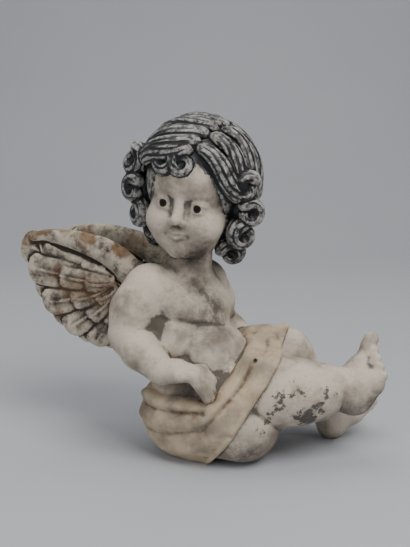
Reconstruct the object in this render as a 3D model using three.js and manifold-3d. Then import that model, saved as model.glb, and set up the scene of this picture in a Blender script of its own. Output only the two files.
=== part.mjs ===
// A seated putto, carved as one piece: a chubby winged child sitting on a flat seat, wrapped in a
// band of drapery, legs stretched out to +X, head turned back over the right shoulder.
//
// The flesh and the cloth are signed distance fields: limbs are bones with a radius at each end,
// the trunk is a few ellipsoids, and all of them run into each other with a soft seam. A field
// becomes a closed mesh on a grid. Locks of hair, feathers, fingers, toes and the rolls of the
// drapery are rings carried along a path. One boolean union joins everything.
//
// Millimetres, +Z up. The origin is the middle of the flat seat. The figure's right side is
// towards -Y and its legs point to +X.

import * as THREE from "three";
import { mergeVertices } from "three/addons/utils/BufferGeometryUtils.js";
import Module from "manifold-3d";

const { Vector3, CatmullRomCurve3, Matrix4, MathUtils } = THREE;
const degrees = MathUtils.degToRad;
const v = (x, y, z) => new Vector3(x, y, z);

// ---------- driving dimensions ----------

const bodyCell = 7.5; // grid step of the trunk and the limbs
const headCell = 4.6; // grid step of the head
const footCell = 6; // grid step of the feet
const capCell = 8; // grid step of the hair under its locks
const clothThickness = 4;
const triangleBudget = 9600; // of the whole statue, before its seat is cut flat

const stoneColour = 0xcfc6b8;
const stoneRoughness = 0.85;

// Where the trunk faces, measured from -Y towards +X.
const hipTurn = degrees(49);
const chestTurn = degrees(44);

// The head has a frame of its own: x to the figure's left, y out of the face, z to the crown.
const headCentre = v(-20, 37, 283);
const headTurn = degrees(-18);
const headTilt = degrees(8);
const headNod = degrees(0);

// The mass of hair is a cap over the skull; locks lie on it and curls hang round its rim.
const cap = { centre: v(0, -7, 17), half: v(58, 62, 62) };
const lockThickness = 13;
const topLocks = 6;
const sideLocks = 4;
const backLocks = 7;
const curlRadius = 11;

// Each wing is a fan of feathers in a flat frame: u out along the wing, w up.
const wingFan = [9, 11]; // where the lines of the feathers meet
const fanFrom = degrees(19);
const fanTo = degrees(-74);
const feathersInRow = [9, 8, 6];
const reachOfRow = [1, 0.7, 0.45];
const thicknessOfRow = [9, 14, 18];
const longestFeather = 130;
const shortestFeather = 82;
const webThickness = 4;

// ---------- fields ----------

const mix = (a, b, t) => a + (b - a) * t;
const clamp01 = (t) => Math.min(1, Math.max(0, t));

/** Joins two distances with a seam softened over a width of `soft`. */
function blend(a, b, soft) {
  const near = Math.max(soft - Math.abs(a - b), 0) / soft;
  return Math.min(a, b) - (near * near * soft) / 4;
}

/** Keeps what lies inside both, with an edge rounded over a width of `soft`. */
const within = (a, b, soft) => -blend(-a, -b, soft);

/** A bone from knot a to knot b, each [x, y, z, radius]. */
function bone(a, b) {
  const along = [b[0] - a[0], b[1] - a[1], b[2] - a[2]];
  const square = along[0] ** 2 + along[1] ** 2 + along[2] ** 2;
  return (x, y, z) => {
    const px = x - a[0];
    const py = y - a[1];
    const pz = z - a[2];
    const t = clamp01((px * along[0] + py * along[1] + pz * along[2]) / square);
    const gap = Math.hypot(px - t * along[0], py - t * along[1], pz - t * along[2]);
    return gap - mix(a[3], b[3], t);
  };
}

/** An ellipsoid: half-widths [across, forward, up], turned about Z as the trunk is. */
function mass(centre, half, turn = 0) {
  const c = Math.cos(turn);
  const s = Math.sin(turn);
  return (x, y, z) => {
    const px = x - centre[0];
    const py = y - centre[1];
    const across = (c * px + s * py) / half[0];
    const forward = (s * px - c * py) / half[1];
    const up = (z - centre[2]) / half[2];
    const scaled = Math.hypot(across, forward, up);
    const steep = Math.hypot(across / half[0], forward / half[1], up / half[2]);
    return steep < 1e-9 ? -Math.min(...half) : (scaled * (scaled - 1)) / steep;
  };
}

/** The bones between consecutive knots, as one list. */
const limb = (...knots) => knots.slice(1).map((knot, i) => bone(knots[i], knot));

/** Blends a list of fields one after another. */
const join = (fields, soft) => (x, y, z) =>
  fields.reduce((d, field) => blend(d, field(x, y, z), soft), Infinity);

// ---------- the trunk and the limbs ----------

const trunk = join(
  [
    mass([-16, 24, 54], [56, 50, 50], hipTurn),
    mass([-6, 18, 108], [44, 40, 42], hipTurn),
    mass([-26, 30, 152], [45, 36, 40], chestTurn),
    mass([-32, 34, 172], [48, 33, 28], chestTurn),
    mass([-32, 4, 166], [20, 14, 16], chestTurn),
    mass([2, 26, 163], [18, 14, 16], chestTurn),
    mass([-46, 4, 126], [26, 24, 26], chestTurn),
    bone([-30, 40, 190, 27], [-24, 38, 228, 23]),
  ],
  14,
);

const upperArmRight = limb([-70, 18, 180, 30], [-84, 12, 158, 28], [-91, 4, 134, 24]);
const upperArmLeft = limb([-12, 74, 177, 28], [-2, 90, 152, 25], [2, 102, 128, 22]);
const foreArmRight = limb([-91, 4, 134, 24], [-78, -14, 121, 22], [-56, -34, 105, 15]);
const foreArmLeft = limb([2, 102, 128, 22], [20, 96, 113, 20], [42, 82, 100, 15]);
const palmRight = limb([-56, -34, 105, 15], [-40, -41, 106, 13], [-24, -44, 104, 12]);
const palmLeft = limb([42, 82, 100, 14], [58, 72, 98, 13]);

const thighRight = limb([-28, 6, 50, 49], [26, -20, 41, 43], [70, -20, 72, 36]);
const shinRight = limb([70, -20, 72, 36], [98, -17, 74, 32], [136, -12, 74, 25]);
const thighLeft = limb([12, 50, 56, 46], [54, 58, 76, 38], [86, 60, 90, 30]);
const shinLeft = limb([86, 60, 90, 30], [108, 55, 62, 27], [132, 45, 32, 19]);

const footRight = join(
  [
    ...limb([136, -12, 74, 25], [149, -12, 64, 20], [161, 2, 96, 17], [168, 9, 112, 11]),
    ...limb([149, -14, 64, 20], [166, -18, 84, 17], [171, -18, 96, 11]),
  ],
  8,
);
const footLeft = join(
  [
    ...limb([132, 45, 32, 19], [137, 44, 17, 17], [158, 52, 28, 14], [174, 60, 37, 10]),
    ...limb([137, 44, 18, 16], [162, 44, 26, 12], [174, 48, 35, 9]),
  ],
  8,
);

const flesh = (x, y, z) => {
  let d = trunk(x, y, z);
  for (const field of [...upperArmRight, ...upperArmLeft]) d = blend(d, field(x, y, z), 12);
  for (const field of [...foreArmRight, ...foreArmLeft]) d = blend(d, field(x, y, z), 5);
  for (const field of [...palmRight, ...palmLeft]) d = blend(d, field(x, y, z), 6);
  for (const field of [...thighRight, ...thighLeft]) d = blend(d, field(x, y, z), 12);
  for (const field of [...shinRight, ...shinLeft]) d = blend(d, field(x, y, z), 7);
  return d;
};

// ---------- the drapery ----------

/** The height of a place over a plane. */
const above = (plane, x, y, z) =>
  (x - plane.point[0]) * plane.out[0] +
  (y - plane.point[1]) * plane.out[1] +
  (z - plane.point[2]) * plane.out[2];

// The cloth ends at the hips behind, at the belly in front, and in a hem over the thighs.
const hipLine = { point: [-30, 0, 76], out: [0, 0, 1] };
const bellyLine = { point: [25, -10, 101], out: [-0.83, 0.29, 0.48] };
const hem = { point: [49, -32, 82], out: [-0.81, 0.05, 0.59] };

// Each fold runs where its plane cuts the hips: it rises or sinks by `rise` over a half-width
// `wide`, and fades out past `until` along X.
const folds = [
  { point: [-45, -37, 69], out: [0, 0, 1], rise: 6, wide: 6, until: -6 },
  { point: [-46, -39, 61], out: [-0.16, -0.13, 0.98], rise: -3, wide: 3.5, until: 2 },
  { point: [-4, -28, 74], out: [-0.42, -0.19, 0.89], rise: 3, wide: 10, until: 200 },
  { point: [-14, -44, 67], out: [-0.55, -0.29, 0.78], rise: 5, wide: 4.5, until: 200 },
  { point: [-10, -41, 60], out: [-0.55, -0.29, 0.78], rise: -5, wide: 4, until: 200 },
  { point: [19, -34, 65], out: [-0.65, -0.05, 0.76], rise: 5, wide: 9, until: 200 },
  { point: [45, -32, 86], out: [-0.81, 0.05, 0.59], rise: 3, wide: 4, until: 200 },
];

const hips = join(
  [
    mass([-16, 24, 54], [56, 50, 50], hipTurn),
    mass([-6, 18, 104], [44, 40, 42], hipTurn),
    ...thighRight,
    ...thighLeft,
  ],
  16,
);

const cloth = (x, y, z) => {
  let thick = clothThickness;
  for (const fold of folds) {
    const fade = clamp01((fold.until - x) / 16);
    thick += fold.rise * fade * Math.exp(-((above(fold, x, y, z) / fold.wide) ** 2));
  }
  const top = Math.min(above(hipLine, x, y, z), above(bellyLine, x, y, z));
  const band = within(hips(x, y, z) - thick, top, 5);
  return within(band, -above(hem, x, y, z), 5);
};

// ---------- the head ----------

const face = (x, y, z) => {
  let d = join(
    [
      mass([0, -6, 12], [50, 58, 50]),
      mass([0, 12, -18], [41, 40, 42]),
      mass([0, 20, 20], [37, 36, 36]),
      mass([-22, 30, -27], [20, 20, 20]),
      mass([22, 30, -27], [20, 20, 20]),
      mass([0, 19, -44], [33, 27, 22]),
    ],
    10,
  )(x, y, z);
  d = blend(d, Math.hypot(x, y - 38, z + 53) - 11, 10);
  for (const side of [-1, 1]) {
    const socket = Math.hypot(x - side * 19, y - 60, z + 5) - 12;
    d = within(d, -socket, 9);
    d = blend(d, Math.hypot(x - side * 18.5, y - 41, z + 6) - 10, 2);
  }
  d = blend(d, bone([0, 50, 2, 4], [0, 57, -19, 5.5])(x, y, z), 5);
  d = blend(d, bone([-5.5, 52, -23, 4.5], [5.5, 52, -23, 4.5])(x, y, z), 3);
  d = blend(d, bone([-8, 46, -36, 4.5], [8, 46, -36, 4.5])(x, y, z), 3);
  d = blend(d, bone([-5, 46, -42, 5], [5, 46, -42, 5])(x, y, z), 3);
  return d;
};

/** The cap of hair over the skull, left open in front for the face. */
const hairCap = (x, y, z) => {
  const shell = mass(cap.centre.toArray(), cap.half.toArray())(x, y, z);
  const nape = mass([0, -12, -30], [44, 40, 34])(x, y, z);
  const opening = mass([0, 52, -28], [47, 50, 62])(x, y, z);
  let d = within(blend(shell, nape, 14), -opening, 6);
  for (const { core, radius } of curls) d = blend(d, bone(core, [0, -6, 6, radius])(x, y, z), 5);
  return d;
};

const headFrame = new Matrix4()
  .makeTranslation(headCentre)
  .multiply(new Matrix4().makeRotationZ(headTurn))
  .multiply(new Matrix4().makeRotationY(headTilt))
  .multiply(new Matrix4().makeRotationX(headNod))
  .multiply(new Matrix4().makeScale(1, -1, 1));

/** The point of the cap nearest a direction, lifted off it. */
function onCap(point, lift) {
  const out = point.clone().sub(cap.centre).divide(cap.half).normalize();
  return out.multiply(cap.half.clone().addScalar(lift)).add(cap.centre);
}

/** A lock combed over the cap from one point to another; its tip hangs free of the cap. */
function lockPath(from, to, sway, width) {
  const knots = [0, 1, 2, 3, 4].map((n) => {
    const t = n / 4;
    const lift = 1 + 3 * Math.sin(Math.PI * t) + 5 * t ** 3;
    const side = v(0, Math.sin(2 * Math.PI * t) * sway, 0);
    const at = onCap(from.clone().lerp(to, t).add(side), lift);
    return [at.x, at.y, at.z, width * (0.75 + 0.5 * Math.sin(Math.PI * t)), lockThickness];
  });
  knots[4][4] *= 0.7;
  return knots;
}

/** A curl: a spiral wound round `axis`, thinning towards its open middle. */
function curlPath(centre, axis, radius, hand, start) {
  const across = v(0, 0, 1).cross(axis).normalize();
  const up = axis.clone().cross(across);
  return [0, 1, 2, 3, 4, 5, 6].map((n) => {
    const t = n / 6;
    const angle = start + hand * t * degrees(395);
    const reach = radius * (1 - 0.5 * t);
    const at = centre
      .clone()
      .addScaledVector(across, reach * Math.cos(angle))
      .addScaledVector(up, reach * Math.sin(angle))
      .addScaledVector(axis, 5 * t);
    const thick = radius * mix(1.15, 0.7, t);
    return [at.x, at.y, at.z, thick, thick * 1.15];
  });
}

const partFront = v(4, 46, 50);
const partBack = v(24, -22, 74);

const locks = [];
for (let i = 0; i < topLocks; i++) {
  const t = (i + 0.4) / topLocks;
  const from = partFront.clone().lerp(partBack, t);
  const to = v(-58, mix(34, -42, t), mix(30, 22, t));
  locks.push(lockPath(from, to, 4, 17));
}
for (let i = 0; i < sideLocks; i++) {
  const t = (i + 0.5) / sideLocks;
  const from = partFront.clone().lerp(partBack, t);
  const to = v(60, mix(30, -26, t), mix(6, 2, t));
  locks.push(lockPath(from, to, -4, 17));
}
for (let i = 0; i < backLocks; i++) {
  const turn = mix(degrees(112), degrees(248), i / (backLocks - 1));
  const from = v(8, -24, 76);
  const to = v(56 * Math.sin(turn), 56 * Math.cos(turn) - 8, -18);
  locks.push(lockPath(from, to, 5, 24));
}

/** A curl on the rim of the hair; `size` is against the usual curl. */
function curl(centre, opening, size, hand, start) {
  const axis = opening.clone().normalize();
  const radius = curlRadius * size;
  const path = curlPath(centre, axis, radius, hand, degrees(start));
  const core = centre.clone().addScaledVector(axis, -0.6 * radius);
  return { axis, path, radius: radius * 0.8, core: [...core.toArray(), radius * 0.8] };
}

const curls = [
  curl(v(-73, 8, 26), v(-0.4, 0.9, 0.2), 1.3, 1, 60),
  curl(v(-68, 14, -4), v(-0.5, 0.85, 0), 1.2, -1, 160),
  curl(v(-62, 6, -30), v(-0.6, 0.8, -0.1), 1.25, 1, 60),
  curl(v(-46, -2, -48), v(-0.4, 0.9, -0.2), 1, -1, 200),
  curl(v(60, 22, 20), v(0.6, 0.8, 0.1), 1.2, -1, 160),
  curl(v(67, 14, -8), v(0.6, 0.8, 0), 1.15, 1, 20),
  curl(v(62, 10, -32), v(0.6, 0.8, -0.1), 1.25, -1, 120),
  curl(v(50, 2, -56), v(0.4, 0.9, -0.2), 1.15, 1, -20),
  curl(v(-24, 45, 38), v(-0.3, 0.95, 0.2), 1.2, 1, 120),
  curl(v(-2, 51, 37), v(0, 1, 0.2), 1, -1, 60),
];
const napeCurls = 6;
for (let i = 0; i < napeCurls; i++) {
  const turn = mix(degrees(108), degrees(252), i / (napeCurls - 1));
  const out = v(Math.sin(turn), Math.cos(turn), 0);
  const low = i % 2 ? -48 : -34;
  const centre = out.clone().multiplyScalar(50).add(v(0, -10, low));
  curls.push(curl(centre, out, 1.4, i % 2 ? 1 : -1, 90));
}

// ---------- the wings ----------

/** How far the feathers reach, from the top of the fan at 0 to its bottom at 1. */
const reachAt = (t) => mix(longestFeather, shortestFeather, t ** 0.6);

/** One wing as feather paths; `toWorld` takes the flat frame's u and w, and a lift off it. */
function featherPaths(toWorld) {
  const paths = [];
  feathersInRow.forEach((count, row) => {
    for (let i = 0; i < count; i++) {
      const t = i / (count - 1);
      const angle = mix(fanFrom - row * 0.05, fanTo + row * 0.1, t);
      const reach = reachAt(t) * reachOfRow[row];
      const width = ((fanFrom - fanTo) / (count - 1)) * reach * 1.5;
      const lean = [1.2, -1.2][i % 2];
      paths.push(
        [0.28, 0.5, 0.75, 1].map((r, n) => {
          const at = toWorld(
            wingFan[0] + reach * r * Math.cos(angle),
            wingFan[1] + reach * r * Math.sin(angle) - 2 * Math.sin(Math.PI * r),
            lean,
          );
          const broad = [0.5, 0.8, 1, 0.85][n];
          return [at.x, at.y, at.z, width * broad, thicknessOfRow[row] * [1.3, 1.1, 1, 0.8][n]];
        }),
      );
    }
  });
  return paths;
}

/** The smooth arm along the top edge of a wing, from the shoulder blade to the tip. */
const wingArm = [
  [-22, -14, 28, 22],
  [2, 20, 32, 21],
  [26, 42, 30, 18],
  [60, 55, 24, 15],
  [96, 61, 16, 10],
  [122, 58, 10, 7],
];

/** The thin web that carries the feathers of a wing. */
function webOf(toWorld) {
  const steps = 8;
  const rim = [];
  for (let i = 0; i <= steps; i++) {
    const angle = mix(fanFrom + 0.1, fanTo, i / steps);
    const reach = reachAt(i / steps) * 0.86;
    rim.push([wingFan[0] + reach * Math.cos(angle), wingFan[1] + reach * Math.sin(angle)]);
  }
  const outline = [[wingFan[0] - 14, wingFan[1] - 14], ...rim];
  const positions = [-0.5, 0.5].flatMap((side) =>
    outline.flatMap(([u, w]) => toWorld(u, w, side * webThickness).toArray()),
  );
  const index = [];
  const n = outline.length;
  for (let i = 0; i < n; i++) {
    const next = (i + 1) % n;
    index.push(i, i + n, next, next, i + n, next + n);
    if (i > 0 && i < n - 1) index.push(0, i, i + 1, n, n + i + 1, n + i);
  }
  const geometry = new THREE.BufferGeometry();
  geometry.setAttribute("position", new THREE.Float32BufferAttribute(positions, 3));
  geometry.setIndex(index);
  return solid(geometry);
}

const wings = [
  { root: v(-90, 46, 172), along: v(-0.985, 0.174, 0) },
  { root: v(-50, 78, 172), along: v(-0.96, 0.28, 0) },
].map(({ root, along }) => {
  const out = along.clone().cross(v(0, 0, 1));
  const toWorld = (u, w, lift) =>
    root.clone().addScaledVector(along, u).addScaledVector(out, lift).add(v(0, 0, w));
  const arm = wingArm.map(([u, w, width, thick]) => [...toWorld(u, w, 0).toArray(), width, thick]);
  return { out, arm, toWorld };
});

// ---------- fingers and toes ----------

/** Fingers of a resting hand: out over an edge, then bent down. */
const fingersOf = (knuckle, ahead, across, droop) =>
  [-1.5, -0.5, 0.5, 1.5].map((n) => {
    const at = (out, down, wide) =>
      knuckle
        .clone()
        .addScaledVector(across, n * 7.5)
        .addScaledVector(ahead, out)
        .add(v(0, 0, -down))
        .toArray()
        .concat(wide, wide);
    return [at(-12, 1, 12), at(3, 0, 12.5), at(15, droop * 0.45, 11.5), at(20, droop, 9)];
  });

const digits = [
  ...fingersOf(v(-24, -44, 106), v(0.94, -0.2, 0), v(0.42, 0.9, 0), 24),
  ...fingersOf(v(62, 70, 99), v(0.85, -0.5, 0), v(0.5, 0.85, 0), 8),
];

/** Toes in a row from the big one to the little one, each a short bone rounded over. */
const toesOf = (big, little, upward, over) =>
  [0, 1, 2, 3, 4].map((n) => {
    const root = big.clone().lerp(little, n / 4);
    const wide = n ? mix(13, 10.5, (n - 1) / 3) : 18;
    const long = n ? 15 : 19;
    const middle = root.clone().addScaledVector(upward, long * 0.6);
    const tip = root.clone().addScaledVector(upward, long).add(over);
    return [root, middle, tip].map((p) => [...p.toArray(), wide, wide * 1.05]);
  });
digits.push(...toesOf(v(169, 10, 110), v(173, -24, 88), v(0.25, 0.1, 0.95), v(2, 0, 0)));
digits.push(...toesOf(v(172, 68, 38), v(174, 44, 31), v(0.75, 0.1, 0.6), v(0, 0, 2)));

// ---------- meshes ----------

const wasm = await Module();
wasm.setup();

/** A closed geometry as a manifold-3d solid. */
function solid(geometry) {
  const bare = new THREE.BufferGeometry();
  bare.setAttribute("position", geometry.getAttribute("position"));
  if (geometry.index) bare.setIndex(geometry.index);
  const merged = mergeVertices(bare, 1e-4);
  return new wasm.Manifold(
    new wasm.Mesh({
      numProp: 3,
      vertProperties: merged.attributes.position.array,
      triVerts: new Uint32Array(merged.index.array),
    }),
  );
}

/** Moves a geometry by a frame, and turns it right side out if the frame mirrors it. */
function placed(geometry, frame) {
  geometry.applyMatrix4(frame);
  if (frame.determinant() > 0) return geometry;
  const index = geometry.index.array;
  for (let i = 0; i < index.length; i += 3) {
    [index[i], index[i + 1]] = [index[i + 1], index[i]];
  }
  return geometry;
}

/** The corners, the edges and the faces of a grid cell; a face is a loop of edges. */
const cellCorners = [0, 1, 2, 3, 4, 5, 6, 7].map((c) => [c & 1, (c >> 1) & 1, c >> 2]);
const cellEdges = [];
const cellFaces = [];
for (const [step, next, far] of [
  [1, 2, 4],
  [2, 4, 1],
  [4, 1, 2],
])
  for (const base of [0, far]) {
    const loop = [base, base + step, base + step + next, base + next];
    const edgesOfLoop = loop.map((a, i) => {
      const b = loop[(i + 1) % 4];
      const found = cellEdges.findIndex((e) => e.includes(a) && e.includes(b));
      return found < 0 ? cellEdges.push([a, b]) - 1 : found;
    });
    cellFaces.push({ loop, edges: edgesOfLoop });
  }

/** Groups the crossed edges of a cell into the separate sheets that pass through it. */
function sheetsOf(inside) {
  const sheet = cellEdges.map(([a, b], i) => (inside[a] === inside[b] ? -1 : i));
  const unite = (a, b) => {
    const [from, to] = [sheet[a], sheet[b]];
    sheet.forEach((group, i) => {
      if (group === from) sheet[i] = to;
    });
  };
  for (const face of cellFaces) {
    const crossed = face.edges.filter((e) => sheet[e] >= 0);
    if (crossed.length === 2) unite(crossed[0], crossed[1]);
    if (crossed.length === 4)
      face.loop.forEach((corner, i) => {
        if (inside[corner]) unite(face.edges[i], face.edges[(i + 3) % 4]);
      });
  }
  return sheet;
}

/**
 * The zero surface of a field inside a box, meshed on a grid: one vertex for each sheet of the
 * surface in a cell, and one quad round each grid edge that the surface crosses.
 */
function surfaceOf(field, low, high, cell, frame = new Matrix4()) {
  const count = [0, 1, 2].map((i) => Math.ceil((high[i] - low[i]) / cell) + 1);
  const stride = [1, count[0], count[0] * count[1]];
  const values = new Float32Array(count[0] * count[1] * count[2]);
  const at = (i, j, k) => i + j * stride[1] + k * stride[2];
  for (let k = 0; k < count[2]; k++)
    for (let j = 0; j < count[1]; j++)
      for (let i = 0; i < count[0]; i++)
        values[at(i, j, k)] = field(low[0] + i * cell, low[1] + j * cell, low[2] + k * cell);

  const positions = [];
  const vertexOf = new Map();
  for (let k = 0; k < count[2] - 1; k++)
    for (let j = 0; j < count[1] - 1; j++)
      for (let i = 0; i < count[0] - 1; i++) {
        const depth = cellCorners.map((c) => values[at(i + c[0], j + c[1], k + c[2])]);
        const inside = depth.map((d) => d < 0);
        if (inside.every((is) => is === inside[0])) continue;
        const sheet = sheetsOf(inside);
        for (const group of new Set(sheet.filter((g) => g >= 0))) {
          const sum = v(0, 0, 0);
          const members = sheet.map((g, e) => (g === group ? e : -1)).filter((e) => e >= 0);
          for (const e of members) {
            const [a, b] = cellEdges[e];
            const t = depth[a] / (depth[a] - depth[b]);
            const place = cellCorners[a].map((c, n) => mix(c, cellCorners[b][n], t));
            sum.add(v(...place));
            vertexOf.set(at(i, j, k) * 12 + e, positions.length / 3);
          }
          sum.divideScalar(members.length).add(v(i, j, k)).multiplyScalar(cell);
          positions.push(low[0] + sum.x, low[1] + sum.y, low[2] + sum.z);
        }
      }

  const index = [];
  const point = (n) => v(...positions.slice(3 * n, 3 * n + 3));
  const edgeBetween = (a, b) => cellEdges.findIndex((e) => e.includes(a) && e.includes(b));
  for (let k = 1; k < count[2] - 1; k++)
    for (let j = 1; j < count[1] - 1; j++)
      for (let i = 1; i < count[0] - 1; i++)
        for (let axis = 0; axis < 3; axis++) {
          const here = at(i, j, k);
          const inside = values[here] < 0;
          if (inside === values[here + stride[axis]] < 0) continue;
          const [u, w] = [(axis + 1) % 3, (axis + 2) % 3];
          const ring = [
            [0, 0],
            [1, 0],
            [1, 1],
            [0, 1],
          ].map(([back, down]) => {
            const corner = (back << u) | (down << w);
            const edge = edgeBetween(corner, corner | (1 << axis));
            return vertexOf.get((here - back * stride[u] - down * stride[w]) * 12 + edge);
          });
          if (!inside) ring.reverse();
          const [a, b, c, d] = ring;
          const shorter = point(a).distanceTo(point(c)) < point(b).distanceTo(point(d));
          if (shorter) index.push(a, b, c, a, c, d);
          else index.push(a, b, d, b, c, d);
        }
  const geometry = new THREE.BufferGeometry();
  geometry.setAttribute("position", new THREE.Float32BufferAttribute(positions, 3));
  geometry.setIndex(index);
  return solid(placed(geometry, frame));
}

/**
 * Rings carried along a smooth path through `knots`, closed by a point at each end. A knot is
 * [x, y, z, width, height]; `face` gives the way the height points at a place. A ring is an
 * ellipse; with four sides it is a blade with a ridge down the middle of both faces.
 */
function carried(knots, { face, sides = 6, rings = 6, frame = new Matrix4() }) {
  const curve = new CatmullRomCurve3(knots.map((k) => v(k[0], k[1], k[2])), false, "centripetal");
  const positions = [];
  const index = [];
  const sizeAt = (t, which) => {
    const place = t * (knots.length - 1);
    const before = Math.min(Math.floor(place), knots.length - 2);
    return mix(knots[before][which], knots[before + 1][which], place - before);
  };
  const ends = 0.18; // how far from each end the first ring stands, as a share of a ring step
  for (let r = 0; r < rings; r++) {
    const atEnd = r === 0 || r === rings - 1;
    const t = (r + (r === 0 ? ends : r === rings - 1 ? -ends : 0)) / (rings - 1);
    const centre = curve.getPoint(t);
    const along = curve.getTangent(t);
    const side = along.clone().cross(face(centre)).normalize();
    const out = side.clone().cross(along);
    const size = atEnd ? 0.72 : 1;
    for (let s = 0; s < sides; s++) {
      const angle = (2 * Math.PI * s) / sides;
      const point = centre
        .clone()
        .addScaledVector(side, (size * Math.cos(angle) * sizeAt(t, 3)) / 2)
        .addScaledVector(out, (size * Math.sin(angle) * sizeAt(t, 4)) / 2);
      positions.push(point.x, point.y, point.z);
      if (r === 0) continue;
      const a = (r - 1) * sides + s;
      const b = (r - 1) * sides + ((s + 1) % sides);
      index.push(a, b + sides, b, a, a + sides, b + sides);
    }
  }
  const tips = [0, 1].map((t) => curve.getPoint(t).toArray());
  positions.push(...tips.flat());
  const last = (rings - 1) * sides;
  for (let s = 0; s < sides; s++) {
    const next = (s + 1) % sides;
    index.push(s, next, rings * sides);
    index.push(last + next, last + s, rings * sides + 1);
  }
  const geometry = new THREE.BufferGeometry();
  geometry.setAttribute("position", new THREE.Float32BufferAttribute(positions, 3));
  geometry.setIndex(index);
  return solid(placed(geometry, frame));
}

/** The triangles of the largest connected skin: no sealed pocket is left inside. */
function outerSkin(triangles, pointCount) {
  const group = Array.from({ length: pointCount }, (_, i) => i);
  const rootOf = (i) => {
    while (group[i] !== i) i = group[i] = group[group[i]];
    return i;
  };
  for (let t = 0; t < triangles.length; t += 3) {
    group[rootOf(triangles[t])] = rootOf(triangles[t + 1]);
    group[rootOf(triangles[t + 1])] = rootOf(triangles[t + 2]);
  }
  const size = new Map();
  for (let t = 0; t < triangles.length; t += 3) {
    const root = rootOf(triangles[t]);
    size.set(root, (size.get(root) ?? 0) + 1);
  }
  const largest = [...size].sort((a, b) => b[1] - a[1])[0][0];
  return Array.from(triangles).filter((_, i) => rootOf(triangles[i - (i % 3)]) === largest);
}

/**
 * A solid with fewer triangles: the edge whose loss bends the surface least is closed up, again
 * and again. Each point carries the squared distance to the planes it has stood for.
 */
function simplified(places, corners, budget) {
  const points = [];
  for (let i = 0; i < places.length; i += 3) points.push(v(...places.slice(i, i + 3)));
  const faces = [];
  for (let i = 0; i < corners.length; i += 3) faces.push([...corners.slice(i, i + 3)]);
  const around = points.map(() => new Set());
  const error = points.map(() => new Float64Array(10));
  const normalOf = (a, b, c) => b.clone().sub(a).cross(c.clone().sub(a));
  faces.forEach((face, f) => {
    const [a, b, c] = face.map((i) => points[i]);
    const normal = normalOf(a, b, c);
    const area = normal.length() / 2;
    normal.normalize();
    const plane = [normal.x, normal.y, normal.z, -normal.dot(a)];
    for (const i of face) {
      around[i].add(f);
      let n = 0;
      for (let r = 0; r < 4; r++)
        for (let s = r; s < 4; s++) error[i][n++] += area * plane[r] * plane[s];
    }
  });
  const costAt = (q, p) => {
    const w = [p.x, p.y, p.z, 1];
    let sum = 0;
    let n = 0;
    for (let r = 0; r < 4; r++)
      for (let s = r; s < 4; s++) sum += (r === s ? 1 : 2) * q[n++] * w[r] * w[s];
    return Math.max(sum, 0);
  };
  const bestFor = (a, b) => {
    const q = error[a].map((value, n) => value + error[b][n]);
    const middle = points[a].clone().lerp(points[b], 0.5);
    const options = [points[a], points[b], middle].map((place) => [costAt(q, place), place]);
    options.sort((one, two) => one[0] - two[0]);
    const length = points[a].distanceToSquared(points[b]);
    return { a, b, q, place: options[0][1].clone(), cost: options[0][0] + 0.02 * length };
  };
  const beside = (i) => {
    const near = new Set();
    for (const f of around[i]) for (const j of faces[f]) if (j !== i) near.add(j);
    return near;
  };
  const heap = [];
  const push = (item) => {
    let i = heap.push(item) - 1;
    while (i > 0 && heap[(i - 1) >> 1].cost > heap[i].cost) {
      const parent = (i - 1) >> 1;
      [heap[i], heap[parent]] = [heap[parent], heap[i]];
      i = parent;
    }
  };
  const pop = () => {
    const top = heap[0];
    const last = heap.pop();
    if (!heap.length) return top;
    heap[0] = last;
    for (let i = 0; ; ) {
      let child = 2 * i + 1;
      if (child >= heap.length) break;
      if (child + 1 < heap.length && heap[child + 1].cost < heap[child].cost) child++;
      if (heap[i].cost <= heap[child].cost) break;
      [heap[i], heap[child]] = [heap[child], heap[i]];
      i = child;
    }
    return top;
  };
  const age = points.map(() => 0);
  const offer = (a, b) => push({ ...bestFor(a, b), ageA: age[a], ageB: age[b] });
  points.forEach((_, i) => {
    for (const j of beside(i)) if (j > i) offer(i, j);
  });
  const keepsShape = (moved, other, place) => {
    for (const f of around[moved]) {
      if (faces[f].includes(other)) continue;
      const before = normalOf(...faces[f].map((i) => points[i]));
      const after = normalOf(...faces[f].map((i) => (i === moved ? place : points[i])));
      if (after.length() < 0.02) return false;
      if (before.dot(after) < 0.25 * before.length() * after.length()) return false;
    }
    return true;
  };
  let left = faces.length;
  while (left > budget && heap.length) {
    const { a, b, q, place, ageA, ageB } = pop();
    if (age[a] !== ageA || age[b] !== ageB) continue;
    const nearA = beside(a);
    const shared = [...beside(b)].filter((i) => nearA.has(i));
    if (shared.length !== 2) continue;
    if (!keepsShape(a, b, place) || !keepsShape(b, a, place)) continue;
    for (const f of [...around[b]]) {
      if (faces[f].includes(a)) {
        for (const i of faces[f]) around[i].delete(f);
        faces[f] = null;
        left--;
        continue;
      }
      faces[f] = faces[f].map((i) => (i === b ? a : i));
      around[a].add(f);
    }
    around[b].clear();
    points[a] = place;
    error[a] = q;
    age[a]++;
    age[b] = -1;
    for (const j of beside(a)) offer(a, j);
  }
  const geometry = new THREE.BufferGeometry();
  const flat = points.flatMap((p) => p.toArray());
  geometry.setAttribute("position", new THREE.Float32BufferAttribute(flat, 3));
  geometry.setIndex(faces.filter(Boolean).flat());
  return solid(geometry);
}

const bodyField = (x, y, z) => blend(flesh(x, y, z), cloth(x, y, z), 1.5);
const body = surfaceOf(bodyField, [-135, -95, -25], [180, 145, 275], bodyCell);
const feet = [
  surfaceOf(footRight, [95, -60, 20], [210, 30, 140], footCell),
  surfaceOf(footLeft, [98, 8, -20], [215, 90, 70], footCell),
];

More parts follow.
